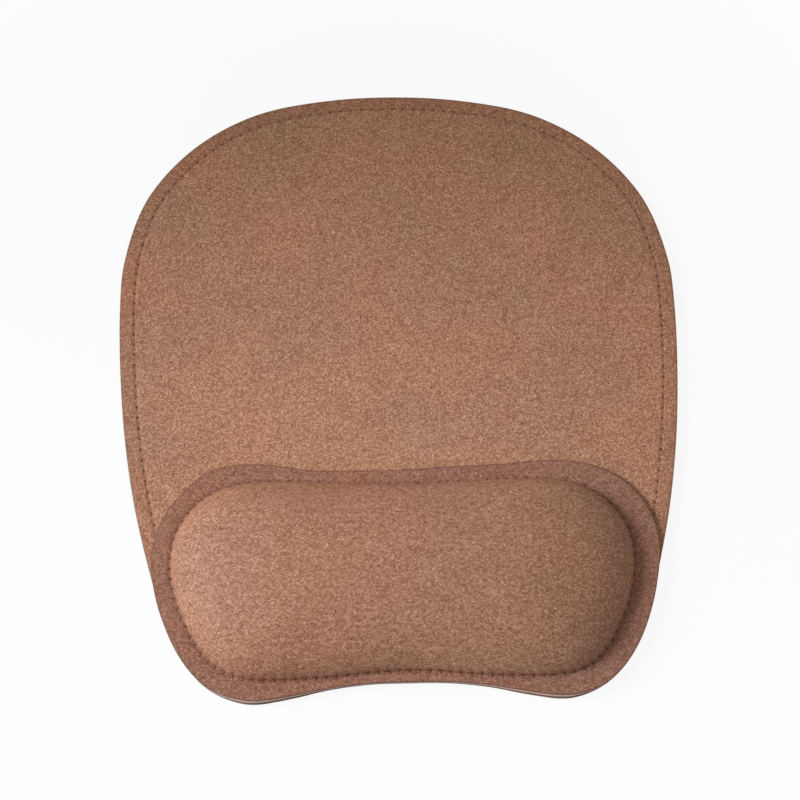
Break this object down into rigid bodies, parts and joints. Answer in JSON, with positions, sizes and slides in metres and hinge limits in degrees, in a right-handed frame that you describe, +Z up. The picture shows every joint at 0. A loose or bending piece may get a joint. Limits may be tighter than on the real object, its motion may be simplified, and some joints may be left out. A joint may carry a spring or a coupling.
{
  "type": "mouse pad",
  "caption": "Contoured cork-fabric mouse pad with a sewn foam wrist rest along its front edge and a flat anti-slip rubber base.",
  "frame": {"origin": "on the table under the middle of the pad's bounding box", "axes": "+Z up out of the table, +Y away from the user along the pad's length, +X to the user's right; the wrist rest is at -Y"},
  "size_m": [0.23, 0.26, 0.024],
  "materials": {
    "base_rubber": "matt brown anti-slip rubber with a fine moulded texture",
    "core_foam": "matt closed-cell foam sheet",
    "lining_cloth": "plain pale cotton backing",
    "pad_cork": "cork fabric, matt, fine granular flecks",
    "thread": "brown polyester sewing thread",
    "adhesive": "clear amber glue film",
    "backing_felt": "pale cream felt panel",
    "cushion_foam": "open-cell memory foam",
    "cover_cork": "cork fabric, matt, fine granular flecks, darker on the flange"
  },
  "bodies": {
    "root": {"rubber_base": "base_rubber", "pad_core": "core_foam", "pad_face_cloth": "lining_cloth", "pad_face_cork": "pad_cork", "pad_needle_thread": "thread", "pad_bobbin_thread": "thread", "rest_adhesive": "adhesive", "rest_backing": "backing_felt", "rest_foam": "cushion_foam", "rest_cover_cloth": "lining_cloth", "rest_cover_cork": "cover_cork", "rest_needle_thread": "thread", "rest_bobbin_thread": "thread"}
  },
  "joints": []
}
